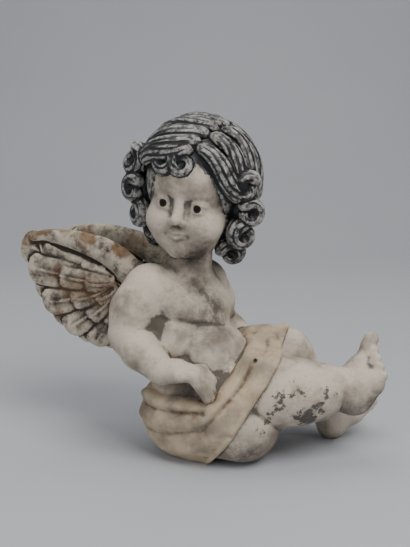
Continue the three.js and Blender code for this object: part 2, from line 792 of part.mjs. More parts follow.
const headOptions = { frame: headFrame };
const head = [
  surfaceOf(face, [-70, -85, -85], [70, 85, 85], headCell, headFrame),
  surfaceOf(hairCap, [-115, -110, -110], [115, 100, 120], capCell, headFrame),
];
const fromSkull = (p) => p.clone().sub(cap.centre);
for (const path of locks)
  head.push(carried(path, { ...headOptions, face: fromSkull, sides: 5, rings: 5 }));
for (const { path, axis } of curls)
  head.push(carried(path, { ...headOptions, face: () => axis, sides: 5, rings: 7 }));

const wingParts = wings.flatMap(({ out, arm, toWorld }) => [
  carried(arm, { face: () => out, sides: 8, rings: 7 }),
  webOf(toWorld),
  ...featherPaths(toWorld).map((path) => carried(path, { face: () => out, sides: 6, rings: 4 })),
]);

const digitParts = digits.map((path) =>
  carried(path, { face: () => v(0.1, -1, 0.2), sides: 5, rings: 4 }),
);

let statue = body;
for (const made of [...feet, ...head, ...wingParts, ...digitParts]) statue = statue.add(made);

const skin = statue.getMesh();
statue = simplified(skin.vertProperties, outerSkin(skin.triVerts, skin.numVert), triangleBudget);

// The seat is cut flat where the figure rests.
const groundSize = 600;
const ground = new THREE.BoxGeometry(groundSize, groundSize, groundSize);
ground.translate(0, 0, -groundSize / 2);
statue = statue.subtract(solid(ground));

// ---------- the exported group ----------

/** A three.js mesh of a manifold-3d solid. */
function meshOf(made, name) {
  const { vertProperties, triVerts, numProp, numVert } = made.getMesh();
  const positions = new Float32Array(numVert * 3);
  for (let i = 0; i < numVert; i++)
    positions.set(vertProperties.subarray(i * numProp, i * numProp + 3), i * 3);
  const geometry = new THREE.BufferGeometry();
  geometry.setAttribute("position", new THREE.BufferAttribute(positions, 3));
  geometry.setIndex(outerSkin(triVerts, numVert));
  geometry.computeVertexNormals();
  const material = new THREE.MeshStandardMaterial({
    color: stoneColour,
    roughness: stoneRoughness,
    metalness: 0,
  });
  const mesh = new THREE.Mesh(geometry, material);
  mesh.name = name;
  return mesh;
}

const putto = new THREE.Group();
putto.add(meshOf(statue, "putto_statue"));

export default putto;
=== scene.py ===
"""A seated putto: a chubby winged child in painted stone, with curly hair and a band of drapery.

Everything is shaped in millimetres in the frame of the CAD part (+Z up, legs towards +X, the
figure's right side towards -Y) and turned into metres when a mesh is made. Flesh and cloth are
signed distance fields; hair, feathers and curls are surfaces carried along paths. All of them
are fused into one skin, and that skin is painted by masks worked out point by point.
"""

import math

import bpy
import numpy as np
from mathutils import Matrix, Vector
from mathutils.kdtree import KDTree


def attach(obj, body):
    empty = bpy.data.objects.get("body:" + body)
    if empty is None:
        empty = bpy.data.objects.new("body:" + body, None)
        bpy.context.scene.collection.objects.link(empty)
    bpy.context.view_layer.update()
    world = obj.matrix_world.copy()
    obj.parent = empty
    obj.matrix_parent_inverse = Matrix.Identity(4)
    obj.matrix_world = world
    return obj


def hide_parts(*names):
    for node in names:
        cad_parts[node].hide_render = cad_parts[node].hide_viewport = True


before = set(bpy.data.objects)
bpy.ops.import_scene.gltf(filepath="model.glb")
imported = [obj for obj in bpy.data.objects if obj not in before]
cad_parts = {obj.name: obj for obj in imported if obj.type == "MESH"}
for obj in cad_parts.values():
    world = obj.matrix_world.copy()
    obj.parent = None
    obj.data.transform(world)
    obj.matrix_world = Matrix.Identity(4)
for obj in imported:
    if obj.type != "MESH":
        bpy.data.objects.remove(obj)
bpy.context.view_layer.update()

BODY_CELL = 2.0  # grid step of the trunk, the limbs and the cloth
HEAD_CELL = 1.5  # grid step of the face and of the hair under its locks
EXTREMITY_CELL = 1.3  # grid step of the hands and the feet
SKIN_VOXEL = 1.05  # size of the voxels that fuse all the surfaces
MOST_TRIANGLES = 190_000

HIP_TURN = math.radians(49)
CHEST_TURN = math.radians(44)
CLOTH_THICKNESS = 4

HEAD_CENTRE = (-20, 37, 283)
HEAD_TURN = math.radians(-18)
HEAD_TILT = math.radians(8)


# ---------- fields: each takes points as an array whose last axis is x, y, z ----------


def mix(a, b, t):
    """From a at t = 0 to b at t = 1."""
    return a + (b - a) * t


def blend(a, b, soft):
    """Joins two distances: min(a, b) less a bulge that fills the seam over a width of `soft`."""
    near = np.maximum(soft - np.abs(a - b), 0) / soft
    return np.minimum(a, b) - near * near * soft / 4


def within(a, b, soft):
    """What lies inside both, with its edge rounded."""
    return -blend(-a, -b, soft)


def ball(p, centre, radius):
    """Distance from a sphere."""
    return np.sqrt(((p - np.asarray(centre, p.dtype)) ** 2).sum(-1)) - radius


def bone(p, a, b):
    """A rounded cone between two knots, each (x, y, z, radius)."""
    a, b = np.asarray(a, p.dtype), np.asarray(b, p.dtype)
    along = b[:3] - a[:3]
    reach = p - a[:3]
    t = np.clip(reach @ along / (along @ along), 0, 1)
    gap = np.sqrt(((reach - t[..., None] * along) ** 2).sum(-1))
    return gap - (a[3] + (b[3] - a[3]) * t)


def mass(p, centre, half, turn=0.0):
    """An ellipsoid with half-widths across, forward and up, turned about Z."""
    c, s = math.cos(turn), math.sin(turn)
    q = p - np.asarray(centre, p.dtype)
    x = (c * q[..., 0] + s * q[..., 1]) / half[0]
    y = (s * q[..., 0] - c * q[..., 1]) / half[1]
    z = q[..., 2] / half[2]
    scaled = np.sqrt(x * x + y * y + z * z)
    steep = np.sqrt((x / half[0]) ** 2 + (y / half[1]) ** 2 + (z / half[2]) ** 2)
    return scaled * (scaled - 1) / np.maximum(steep, 1e-6)


def limb(p, d, knots, soft):
    """Blends the bones between consecutive knots into the distance d."""
    for a, b in zip(knots, knots[1:]):
        d = blend(d, bone(p, a, b), soft)
    return d


def above(p, point, out):
    """Height over a plane."""
    return (p - np.asarray(point, p.dtype)) @ np.asarray(out, p.dtype)


# ---------- the flesh ----------

TRUNK = [
    ((-14, 24, 54), (55, 49, 50), HIP_TURN),
    ((-2, 6, 24), (64, 44, 28), 0.0),
    ((-3, 14, 98), (46, 43, 50), HIP_TURN),
    ((-26, 30, 152), (45, 36, 40), CHEST_TURN),
    ((-32, 34, 172), (48, 33, 28), CHEST_TURN),
    ((-32, 4, 166), (20, 14, 16), CHEST_TURN),
    ((2, 26, 163), (18, 14, 16), CHEST_TURN),
    ((-46, 4, 126), (26, 24, 26), CHEST_TURN),
]
NECK = [(-30, 40, 190, 27), (-24, 38, 228, 23)]
UPPER_ARMS = [
    [(-70, 18, 180, 30), (-84, 12, 158, 28), (-91, 4, 134, 24)],
    [(-12, 74, 177, 28), (-2, 90, 152, 25), (2, 102, 128, 22)],
]
FOREARMS = [
    [(-91, 4, 134, 24), (-78, -14, 121, 22), (-56, -34, 105, 15)],
    [(2, 102, 128, 22), (20, 96, 113, 20), (42, 82, 100, 15)],
]
PALMS = [
    [(-56, -34, 105, 14), (-40, -41, 107, 12), (-26, -44, 106, 10)],
    [(42, 82, 100, 14), (58, 72, 98, 12)],
]
THIGHS = [
    [(-28, 6, 50, 48), (8, -8, 58, 44), (72, -20, 77, 38)],
    [(12, 50, 56, 46), (50, 57, 84, 38), (82, 60, 92, 33)],
]
HAM = [(-6, -4, 44, 45), (30, -22, 42, 42)]
LAP = [(30, -14, 78, 30), (48, 6, 84, 31), (62, 44, 92, 33)]  # the hollow that the cloth spans
SHINS = [
    [(72, -20, 77, 38), (93, -18, 76, 35), (114, -15, 76, 30), (134, -12, 78, 24)],
    [(82, 60, 92, 33), (106, 55, 62, 27), (132, 45, 32, 19)],
]
RIGHT_FOOT = [
    [(134, -12, 78, 24), (151, -11, 72, 21), (160, 0, 93, 16), (167, 8, 106, 11)],
    [(152, -13, 72, 21), (164, -18, 84, 16), (172, -22, 88, 11)],
]
LEFT_FOOT = [
    [(132, 45, 32, 19), (137, 44, 15, 15), (158, 52, 28, 13), (174, 60, 37, 9)],
    [(137, 44, 16, 14), (162, 44, 28, 10), (174, 48, 35, 8)],
]

# Soft lines pressed into the flesh: (a point, the way across the line, depth, half-width, reach).
CREASES = [
    ((-54, -36, 106), (0.75, -0.6, -0.25), 2.6, 1.8, 19),
    ((136, -12, 74), (1, 0.1, -0.25), 2.6, 2.0, 30),
    ((132, 45, 30), (0.7, -0.2, -0.7), 2.2, 1.8, 24),
    ((-18, -6, 149), (0.15, 0.1, 1), 2.6, 3.0, 40),
    ((-26, 20, 214), (0.1, 0.3, 1), 1.8, 1.6, 26),
]


def trunk(p):
    """Seat, belly, chest and neck, run together with a soft seam."""
    d = mass(p, *TRUNK[0])
    for entry in TRUNK[1:]:
        d = blend(d, mass(p, *entry), 14)
    return blend(d, bone(p, *NECK), 14)


def flesh(p):
    """The naked figure up to the neck, without hands and feet."""
    d = trunk(p)
    for limbs, soft in ((UPPER_ARMS, 12), (FOREARMS, 4), (PALMS, 5), (THIGHS, 10), (SHINS, 6)):
        for knots in limbs:
            d = limb(p, d, knots, soft)
    d = limb(p, d, HAM, 3)
    for point, across, depth, wide, reach in CREASES:
        across = np.asarray(across) / np.linalg.norm(across)
        height = above(p, point, across)
        nearness = np.exp(-(ball(p, point, 0) / reach) ** 4)
        d = d + depth * np.exp(-((height / wide) ** 2)) * nearness
    navel = ball(p, (14, -14, 118), 0)
    return d + 3.5 * np.exp(-((navel / 4.5) ** 2))


# ---------- the drapery ----------

HIP_LINE = ((-30, 0, 76), (0, 0, 1))
BELLY_LINE = ((20, -31, 104), (-0.73, -0.03, 0.68))
HEM = ((43, -41, 76), (-0.84, 0.08, 0.54))

# Folds of the cloth: (rise, half-width, the knots of the line that it follows).
FOLDS = [
    (5, 5.5, [(-80, 0, 70), (-61, -31, 70), (-45, -42, 69), (-26, -51, 69), (-8, -55, 72)]),
    (-4, 2.4, [(-78, -10, 60), (-61, -34, 61), (-37, -47, 63), (-13, -57, 66)]),
    (4.5, 7, [(-80, 0, 46), (-54, -42, 49), (-30, -54, 50), (-8, -60, 58), (10, -58, 78),
              (24, -50, 96), (34, -38, 112), (48, 10, 122), (60, 40, 128)]),
    (-6, 2.8, [(-77, -8, 30), (-54, -38, 34), (-31, -51, 40), (-12, -59, 48), (2, -61, 65),
               (18, -56, 83), (31, -48, 98), (41, -32, 112), (53, 12, 116), (64, 38, 126)]),
    (3.5, 7, [(-54, -29, 16), (-28, -45, 20), (-8, -57, 31), (12, -65, 50), (27, -63, 69),
              (40, -57, 88), (51, -46, 105), (62, -20, 117), (72, 28, 118)]),
    (-3, 2.2, [(16, -66, 44), (29, -67, 57), (38, -61, 76), (46, -56, 90), (54, -45, 105)]),
]


def line(p, knots):
    """Distance from the line of straight pieces between knots."""
    thin = [(*knot, 0) for knot in knots]
    return np.minimum.reduce([bone(p, a, b) for a, b in zip(thin, thin[1:])])


def hips(p):
    """The form under the cloth: seat, belly, thighs and the hollow between them."""
    d = mass(p, *TRUNK[0])
    for entry in TRUNK[1:3]:
        d = blend(d, mass(p, *entry), 16)
    for knots in (*THIGHS, HAM, LAP):
        d = limb(p, d, knots, 12)
    return d


def small_folds(p):
    """Shallow ripples that run with the big folds and wander a little: a * |sin(h / w + s)|."""
    height = above(p, (-10, -41, 60), (-0.5, -0.25, 0.82))
    sway = 1.6 * np.sin(p[..., 0] / 23) + 1.2 * np.sin(p[..., 1] / 17 + 1)
    return 0.9 * np.abs(np.sin(height / 5.2 + sway)) ** 0.7


def hem_ridge(p):
    """A rolled edge along the hem: rise * exp(-(distance / half-width)^2)."""
    return 2.6 * np.exp(-(((above(p, *HEM) - 2.5) / 2.6) ** 2))


def cloth(p):
    """The hips grown by a thickness that the folds raise or sink, cut off at three planes."""
    base = hips(p)
    near = np.abs(base - CLOTH_THICKNESS) < 16
    thick = np.full(base.shape, CLOTH_THICKNESS, p.dtype)
    skin = p[near]
    rise = small_folds(skin) - 0.8 + hem_ridge(skin)
    for height, wide, knots in FOLDS:
        rise = rise + height * np.exp(-((line(skin, knots) / wide) ** 2))
    thick[near] += rise
    top = np.minimum(above(p, *HIP_LINE), above(p, *BELLY_LINE))
    band = within(base - thick, top, 3)
    return within(band, -above(p, *HEM), 3)


def body(p):
    """The flesh with the cloth laid over it."""
    return blend(flesh(p), cloth(p), 1.2)


# ---------- hands and feet ----------


def fingers(knuckle, ahead, across, droop):
    """Four fingers of a resting hand, as knots: out over an edge, then bent down."""
    knuckle, ahead, across = (np.array(a, float) for a in (knuckle, ahead, across))
    for n in (-1.5, -0.5, 0.5, 1.5):
        root = knuckle + across * n * 7.8
        long = 1 - 0.08 * abs(n - 0.5)
        steps = [(-12, 1, 6.4), (3, 0, 6.6), (14 * long, droop * 0.45, 6), (19, droop, 4.6)]
        yield [tuple(root + ahead * out - (0, 0, down)) + (r,) for out, down, r in steps]


def toes(big, little, upward, over):
    """Five toes in a row from the big one to the little one, as knots."""
    big, little, upward = (np.array(a, float) for a in (big, little, upward))
    for n in range(5):
        root = mix(big, little, n / 4)
        wide = 8.6 if n == 0 else mix(6.4, 5.2, (n - 1) / 3)
        long = 19 if n == 0 else 15
        tip = root + upward * long + over
        middle = root + upward * long * 0.6
        yield [tuple(k) + (wide * s,) for k, s in ((root, 1), (middle, 0.92), (tip, 0.96))]


def hand(p, palm, finger_knots, thumb):
    """A palm, four fingers that stay apart, and a thumb."""
    d = limb(p, np.full(p.shape[:-1], 1e3, p.dtype), palm, 5)
    for knots in finger_knots:
        d = blend(d, limb(p, np.full_like(d, 1e3), knots, 2), 2.2)
    return limb(p, d, thumb, 4)


def foot(p, bones, toe_knots):
    """The heel, the instep and the ball as bones, with five toes that stay apart."""
    d = np.full(p.shape[:-1], 1e3, p.dtype)
    for knots in bones:
        d = limb(p, d, knots, 8)
    for knots in toe_knots:
        d = blend(d, limb(p, np.full_like(d, 1e3), knots, 2), 2.0)
    return d


RIGHT_FINGERS = list(fingers((-21, -45, 106), (0.94, -0.2, 0), (0.42, 0.9, 0), 24))
LEFT_FINGERS = list(fingers((62, 70, 99), (0.85, -0.5, 0), (0.5, 0.85, 0), 8))
RIGHT_THUMB = [(-46, -30, 108, 8), (-34, -22, 106, 7.5), (-24, -18, 102, 6)]
LEFT_THUMB = [(48, 68, 102, 8), (60, 58, 104, 7), (68, 52, 102, 6)]
RIGHT_TOES = list(toes((167, 11, 108), (175, -26, 82), (0.22, 0.05, 0.97), (2, 0, 0)))
LEFT_TOES = list(toes((172, 68, 38), (174, 44, 31), (0.75, 0.1, 0.6), (0, 0, 2)))


# ---------- the head, in its own frame: x to the figure's left, y out of the face, z up ----------

HEAD_FRAME = (
    Matrix.Translation(HEAD_CENTRE)
    @ Matrix.Rotation(HEAD_TURN, 4, "Z")
    @ Matrix.Rotation(HEAD_TILT, 4, "Y")
    @ Matrix.Diagonal((1, -1, 1, 1))
)

EYE = (18.5, 41.0, -6.0)
EYE_RADIUS = 9.6


def features(p, d):
    """Adds brows, eyes, nose, mouth and chin to the bare face, the same on both sides."""
    q = p.copy()
    q[..., 0] = np.abs(q[..., 0])
    d = within(d, 12 - ball(q, (19, 60, -5), 0), 9)
    eye = ball(q, EYE, 0)
    upper = within(eye - EYE_RADIUS - 1.6, -above(q, (19, 50, -3.4), (0.1, -0.25, 1)), 1)
    lower = within(eye - EYE_RADIUS - 1.3, above(q, (19, 50, -9.6), (0.05, 0.3, 1)), 1)
    d = blend(d, np.minimum(upper, lower), 1.6)
    d = np.minimum(d, eye - EYE_RADIUS)
    d = blend(d, bone(q, (9, 49, 6, 3.2), (27, 43, 8, 2.4)), 6)
    d = blend(d, bone(q, (0, 49, 2, 4), (0, 56, -18, 5)), 6)
    d = blend(d, ball(q, (0, 57, -21), 5.6), 3)
    d = blend(d, ball(q, (6.2, 52, -23), 4.0), 2.5)
    d = within(d, 1.9 - ball(q, (3.4, 57, -26.4), 0), 1)
    d = blend(d, bone(q, (0.8, 52.2, -35.0, 2.6), (9.5, 47.6, -37.0, 1.4)), 2)
    d = blend(d, bone(q, (0, 51.4, -40.4, 3.1), (6.5, 48.6, -39.4, 1.8)), 2)
    d = d + 1.3 * np.exp(-((bone(q, (0, 54, -37.4, 0), (9, 49, -37.6, 0)) / 0.9) ** 2))
    d = d + 1.6 * np.exp(-((bone(q, (0, 55, -27, 0), (0, 54, -32, 0)) / 1.6) ** 2))
    return d + 1.6 * np.exp(-((ball(q, (12.5, 47, -38), 0) / 2.6) ** 2))


def face(p):
    """A plump child's head: cranium, forehead, cheeks, jaw and chin, then the features."""
    d = mass(p, (0, -6, 12), (50, 58, 50))
    for entry in (
        ((0, 12, -18), (41, 40, 42)),
        ((0, 20, 20), (37, 36, 36)),
        ((-22, 30, -27), (20, 20, 20)),
        ((22, 30, -27), (20, 20, 20)),
        ((0, 19, -44), (33, 27, 22)),
    ):
        d = blend(d, mass(p, *entry), 10)
    d = blend(d, ball(p, (0, 38, -53), 11), 10)
    return features(p, d)


# ---------- the hair ----------

CAP_CENTRE = np.array([0, -7, 17.0])
CAP_HALF = np.array([58, 62, 62.0])
LOCK_THICKNESS = 13
CURL_RADIUS = 11
TOP_LOCKS, SIDE_LOCKS, BACK_LOCKS, NAPE_CURLS = 6, 4, 7, 6


def unit(a):
    """The direction of a, with length 1."""
    a = np.asarray(a, float)
    return a / np.linalg.norm(a)


def on_cap(point, lift):
    """The point of the cap that lies in the direction of `point`, raised by `lift`."""
    out = unit((point - CAP_CENTRE) / CAP_HALF)
    return out * (CAP_HALF + lift) + CAP_CENTRE


def lock_path(start, end, sway, width):
    """A lock combed over the cap, as rows of x, y, z, width, height; its tip hangs free."""
    start, end = np.array(start, float), np.array(end, float)
    rows = []
    for t in np.linspace(0, 1, 9):
        lift = 1 + 3 * math.sin(math.pi * t) + 5 * t**3
        side = np.array([0, math.sin(2 * math.pi * t) * sway, 0])
        at = on_cap(mix(start, end, t) + side, lift)
        broad = width * (0.75 + 0.5 * math.sin(math.pi * t))
        rows.append([*at, broad, LOCK_THICKNESS * (1 if t < 0.9 else 0.7)])
    return np.array(rows)


def curl_path(centre, axis, radius, hand, start):
    """A spiral round `axis`: reach = radius (1 - 0.62 t), angle = start + 395 degrees t."""
    across = unit(np.cross((0, 0, 1), axis))
    up = np.cross(axis, across)
    rows = []
    for t in np.linspace(0, 1, 25):
        angle = start + hand * t * math.radians(395)
        reach = radius * (1 - 0.62 * t)
        at = centre + reach * (across * math.cos(angle) + up * math.sin(angle)) - 2 * t * axis
        thick = radius * mix(1.3, 0.8, t)
        rows.append([*at, thick, thick * 1.15])
    return np.array(rows)


# Curls on the rim of the hair: centre, opening, size, hand, start angle in degrees.
RIM_CURLS = [
    ((-73, 8, 26), (-0.4, 0.9, 0.2), 1.3, 1, 60),
    ((-68, 14, -4), (-0.5, 0.85, 0), 1.2, -1, 160),
    ((-62, 6, -30), (-0.6, 0.8, -0.1), 1.25, 1, 60),
    ((-46, -2, -48), (-0.4, 0.9, -0.2), 1, -1, 200),
    ((60, 22, 20), (0.6, 0.8, 0.1), 1.2, -1, 160),
    ((67, 14, -8), (0.6, 0.8, 0), 1.15, 1, 20),
    ((62, 10, -32), (0.6, 0.8, -0.1), 1.25, -1, 120),
    ((50, 2, -56), (0.4, 0.9, -0.2), 1.15, 1, -20),
    ((-24, 45, 38), (-0.3, 0.95, 0.2), 1.2, 1, 120),
    ((-2, 51, 37), (0, 1, 0.2), 1, -1, 60),
]


def all_curls():
    """The rim's curls and a double row round the nape, with their axes made unit length."""
    curls = list(RIM_CURLS)
    for i in range(NAPE_CURLS):
        turn = math.radians(mix(108, 252, i / (NAPE_CURLS - 1)))
        out = np.array([math.sin(turn), math.cos(turn), 0])
        low = -48 if i % 2 else -34
        curls.append((out * 50 + (0, -10, low), out, 1.4, 1 if i % 2 else -1, 90))
    return [(np.array(c, float), unit(axis), size, hand, a) for c, axis, size, hand, a in curls]


CURLS = all_curls()


def hair_cap(p):
    """The mass of hair under the locks and the curls, left open in front for the face."""
    d = blend(mass(p, CAP_CENTRE, CAP_HALF), mass(p, (0, -12, -30), (44, 40, 34)), 14)
    d = within(d, -mass(p, (0, 52, -28), (47, 50, 62)), 6)
    for centre, axis, size, _, _ in CURLS:
        radius = CURL_RADIUS * size
        core = centre - axis * 0.6 * radius
        d = blend(d, bone(p, (*core, radius * 0.8), (0, -6, 6, radius * 0.8)), 5)
    return d


PART_FRONT = np.array([4, 46, 50.0])
PART_BACK = np.array([24, -22, 74.0])


def lock_paths():
    """Locks from the side parting over the top and down the side, and from the crown back."""
    paths = []
    for i in range(TOP_LOCKS):
        t = (i + 0.4) / TOP_LOCKS
        end = (-58, mix(34, -42, t), mix(30, 22, t))
        paths.append(lock_path(mix(PART_FRONT, PART_BACK, t), end, 4, 17))
    for i in range(SIDE_LOCKS):
        t = (i + 0.5) / SIDE_LOCKS
        end = (60, mix(30, -26, t), mix(6, 2, t))
        paths.append(lock_path(mix(PART_FRONT, PART_BACK, t), end, -4, 17))
    for i in range(BACK_LOCKS):
        turn = math.radians(mix(112, 248, i / (BACK_LOCKS - 1)))
        end = (56 * math.sin(turn), 56 * math.cos(turn) - 8, -18)
        paths.append(lock_path((8, -24, 76), end, 5, 24))
    return paths


# ---------- the wings ----------

WING_FAN = np.array([9, 11.0])
FAN_FROM, FAN_TO = math.radians(19), math.radians(-74)
FEATHERS_IN_ROW = (9, 8, 6)
REACH_OF_ROW = (1, 0.7, 0.45)
THICKNESS_OF_ROW = (8, 13, 17)
LONGEST_FEATHER, SHORTEST_FEATHER = 130, 82
WEB_THICKNESS = 4
WINGS = [((-90, 46, 172), (-0.985, 0.174, 0)), ((-50, 78, 172), (-0.96, 0.28, 0))]
WING_ARM = [
    (-22, -14, 28, 22),
    (2, 20, 32, 21),
    (26, 42, 30, 18),
    (60, 55, 24, 15),
    (96, 61, 16, 10),
    (122, 58, 10, 7),
]


def reach_at(t):
    """How far the feathers reach, from the top of the fan at 0 to its bottom at 1."""
    return mix(LONGEST_FEATHER, SHORTEST_FEATHER, t**0.6)


# ---------- surfaces ----------


def field_surface(field, low, high, cell):
    """The zero surface of a field on a grid: a point in each crossed cell, a quad per edge."""
    axes = [np.arange(lo, hi + cell, cell, dtype=np.float32) for lo, hi in zip(low, high)]
    values = np.empty([len(a) for a in axes], np.float32)
    for start in range(0, len(axes[0]), 24):
        slab = np.stack(np.meshgrid(axes[0][start : start + 24], *axes[1:], indexing="ij"), -1)
        values[start : start + 24] = field(slab)
    inside = values < 0
    shape = np.array(values.shape) - 1
    total = np.zeros((*shape, 3), np.float32)
    crossings = np.zeros(shape, np.float32)
    for axis in range(3):
        near = [slice(None)] * 3
        far = [slice(None)] * 3
        near[axis], far[axis] = slice(None, -1), slice(1, None)
        a, b = values[tuple(near)], values[tuple(far)]
        crossed = (a < 0) != (b < 0)
        t = np.where(crossed, a / np.where(crossed, a - b, 1), 0)
        others = [i for i in range(3) if i != axis]
        for du in (0, 1):
            for dw in (0, 1):
                part = [slice(None)] * 3
                part[others[0]] = slice(du, du + shape[others[0]])
                part[others[1]] = slice(dw, dw + shape[others[1]])
                hit = crossed[tuple(part)]
                crossings += hit
                total[..., axis] += t[tuple(part)]
                total[..., others[0]] += du * hit
                total[..., others[1]] += dw * hit
    cells = np.argwhere(crossings > 0)
    which = tuple(cells.T)
    points = (cells + total[which] / crossings[which][:, None]) * cell
    points += np.array([a[0] for a in axes])
    number = np.full(shape, -1, np.int64)
    number[which] = np.arange(len(cells))
    quads = []
    for axis in range(3):
        u, w = (axis + 1) % 3, (axis + 2) % 3
        step_u, step_w = np.eye(3, dtype=int)[u], np.eye(3, dtype=int)[w]
        near = [slice(1, -1)] * 3
        far = [slice(1, -1)] * 3
        near[axis], far[axis] = slice(0, -1), slice(1, None)
        crossed = inside[tuple(near)] != inside[tuple(far)]
        here = np.argwhere(crossed) + np.array([0 if i == axis else 1 for i in range(3)])
        ring = [here, here - step_u, here - step_u - step_w, here - step_w]
        ring = np.stack([number[tuple(c.T)] for c in ring], 1)
        outward = inside[tuple(here.T)]
        quads.append(np.where(outward[:, None], ring, ring[:, ::-1]))
    return points, np.concatenate(quads)


def tube(centres, sides, outs, widths, heights, profile):
    """Rings along a path closed by a point at each end.

    Ring n holds centre + width / 2 * cos(a) * r(a) * side + height / 2 * sin(a) * r(a) * out,
    with r given by `profile`, an array of rings by angles.
    """
    rings, around = profile.shape
    angle = np.linspace(0, 2 * np.pi, around, endpoint=False)
    across = (widths / 2)[:, None] * np.cos(angle) * profile
    outward = (heights / 2)[:, None] * np.sin(angle) * profile
    points = centres[:, None] + across[..., None] * sides[:, None]
    points = points + outward[..., None] * outs[:, None]
    n, a = np.meshgrid(np.arange(rings - 1), np.arange(around), indexing="ij")
    b = (a + 1) % around
    here, onward = n * around, (n + 1) * around
    quads = np.stack([here + a, onward + a, onward + b, here + b], -1)
    first_end = np.full(around, rings * around)
    last_end = first_end + 1
    last = (rings - 1) * around
    ring = np.arange(around)
    turn = (ring + 1) % around
    start = np.stack([ring, turn, first_end, first_end], 1)
    finish = np.stack([last + turn, last + ring, last_end, last_end], 1)
    points = np.concatenate([points.reshape(-1, 3), centres[:1], centres[-1:]])
    return points, np.concatenate([quads.reshape(-1, 4), start, finish])


def smooth_path(rows, count):
    """Resamples rows of x, y, z, width, height at `count` even steps of a Catmull-Rom curve."""
    rows = np.asarray(rows, float)
    padded = np.concatenate([[2 * rows[0] - rows[1]], rows, [2 * rows[-1] - rows[-2]]])
    place = np.linspace(0, len(rows) - 1, count)
    first = np.minimum(place.astype(int), len(rows) - 2)
    t = (place - first)[:, None]
    a, b, c, d = (padded[first + i] for i in range(4))
    square = (2 * a - 5 * b + 4 * c - d) * t**2
    cube = (3 * b - a - 3 * c + d) * t**3
    return 0.5 * (2 * b + (c - a) * t + square + cube)


def directions(centres, face):
    """Unit side and out directions along a path whose out side leans to `face`."""
    along = np.gradient(centres, axis=0)
    sides = np.cross(along, face)
    sides /= np.linalg.norm(sides, axis=1)[:, None]
    outs = np.cross(sides, along)
    return sides, outs / np.linalg.norm(outs, axis=1)[:, None]


def rounded_ends(count, share):
    """Sizes along a path that swell from its ends as a quarter circle over a share of it."""
    t = np.linspace(0, 1, count)
    near = np.clip(np.minimum(t, 1 - t) / share, 0.02, 1)
    return np.sqrt(1 - (1 - near) ** 2)


def strand_surface(rows, face, strands, twist):
    """A lock of hair: a tube grooved into strands that wind slowly round it.

    r(a, t) = 1 + 0.09 |sin(strands (a + twist t) / 2)| + 0.035 sin(2 strands a + 5 t) - 0.05
    """
    count = 60
    rows = smooth_path(rows, count)
    centres = rows[:, :3]
    sides, outs = directions(centres, face(centres))
    angle = np.linspace(0, 2 * np.pi, 72, endpoint=False)[None, :]
    t = np.linspace(0, 1, count)[:, None]
    wander = 0.3 * np.sin(7 * t + rows[0, 0])
    profile = 0.95 + 0.11 * np.abs(np.sin(strands * (angle + twist * t + wander) / 2))
    profile = profile + 0.03 * np.sin(2 * strands * angle + 5 * t)
    ends = rounded_ends(count, 0.12)
    return tube(centres, sides, outs, rows[:, 3] * ends, rows[:, 4] * ends, profile)


def feather_surface(base, tip, out, width, thick, wave):
    """A feather: a blade crowned over its width, with a shaft and slanting barbs on both faces.

    height(c) = (1 - c^2)^0.6 + shaft - barbs, where c runs from -1 to 1 across the vane.
    """
    count, around = 64, 48
    t = np.linspace(0, 1, count)
    along = unit(tip - base)
    side = unit(np.cross(along, out))
    bow = 3.0 * np.sin(np.pi * t) * wave
    centres = base + t[:, None] * (tip - base) + bow[:, None] * side
    swell = 0.45 + 0.55 * np.clip(t / 0.55, 0, 1) ** 0.8
    rounding = np.sqrt(np.clip(1 - np.clip((t - 0.84) / 0.16, 0, 0.995) ** 2.2, 0, 1))
    angle = np.linspace(0, 2 * np.pi, around, endpoint=False)
    c = np.cos(angle)[None, :]
    reach = np.linalg.norm(tip - base)
    slant = (t[:, None] * reach - 0.9 * np.abs(c) * width / 2) / 3.4
    barbs = 0.075 * (1 - np.exp(-((c / 0.2) ** 2))) * np.abs(np.sin(np.pi * slant)) ** 0.6
    shaft = 0.16 * np.exp(-((c / 0.11) ** 2))
    rim = np.sqrt(np.clip(1 - c**2, 0, 1))
    crown = rim ** 0.55 * (0.62 + shaft + barbs) * (1 - 0.25 * t[:, None])
    across = (width / 2) * (swell * rounding)[:, None] * c * np.ones_like(slant)
    lift = (thick / 2) * rounding[:, None] * crown * np.sign(np.sin(angle))[None, :]
    points = centres[:, None] + across[..., None] * side + lift[..., None] * out
    _, quads = tube(centres, np.tile(side, (count, 1)), np.tile(out, (count, 1)),
                    np.ones(count), np.ones(count), np.ones((count, around)))
    return np.concatenate([points.reshape(-1, 3), centres[:1], centres[-1:]]), quads


def wing_surfaces(root, along):
    """The arm and the feathers of a wing, which all lie along one upright plane with its web."""
    root, along = np.array(root, float), unit(along)
    out = unit(np.cross(along, (0, 0, 1)))

    def place(u, w, lift=0.0):
        return root + along * u + out * lift + np.array([0, 0, w])

    arm = np.array([[*place(u, w), width, thick] for u, w, width, thick in WING_ARM])
    arm = smooth_path(arm, 48)
    sides, outs = directions(arm[:, :3], np.tile(out, (48, 1)))
    ends = rounded_ends(48, 0.1)
    yield tube(arm[:, :3], sides, outs, arm[:, 3] * ends, arm[:, 4] * ends, np.ones((48, 40)))
    for row, count in enumerate(FEATHERS_IN_ROW):
        for i in range(count):
            t = i / (count - 1)
            angle = mix(FAN_FROM - row * 0.05, FAN_TO + row * 0.1, t)
            reach = reach_at(t) * REACH_OF_ROW[row]
            width = (FAN_FROM - FAN_TO) / (count - 1) * reach * 1.5
            lean = 1.2 if i % 2 == 0 else -1.2
            ray = np.array([math.cos(angle), math.sin(angle)])
            base = place(*(WING_FAN + ray * reach * 0.24), lean)
            tip = place(*(WING_FAN + ray * reach), lean)
            yield feather_surface(base, tip, out, width, THICKNESS_OF_ROW[row], 1)


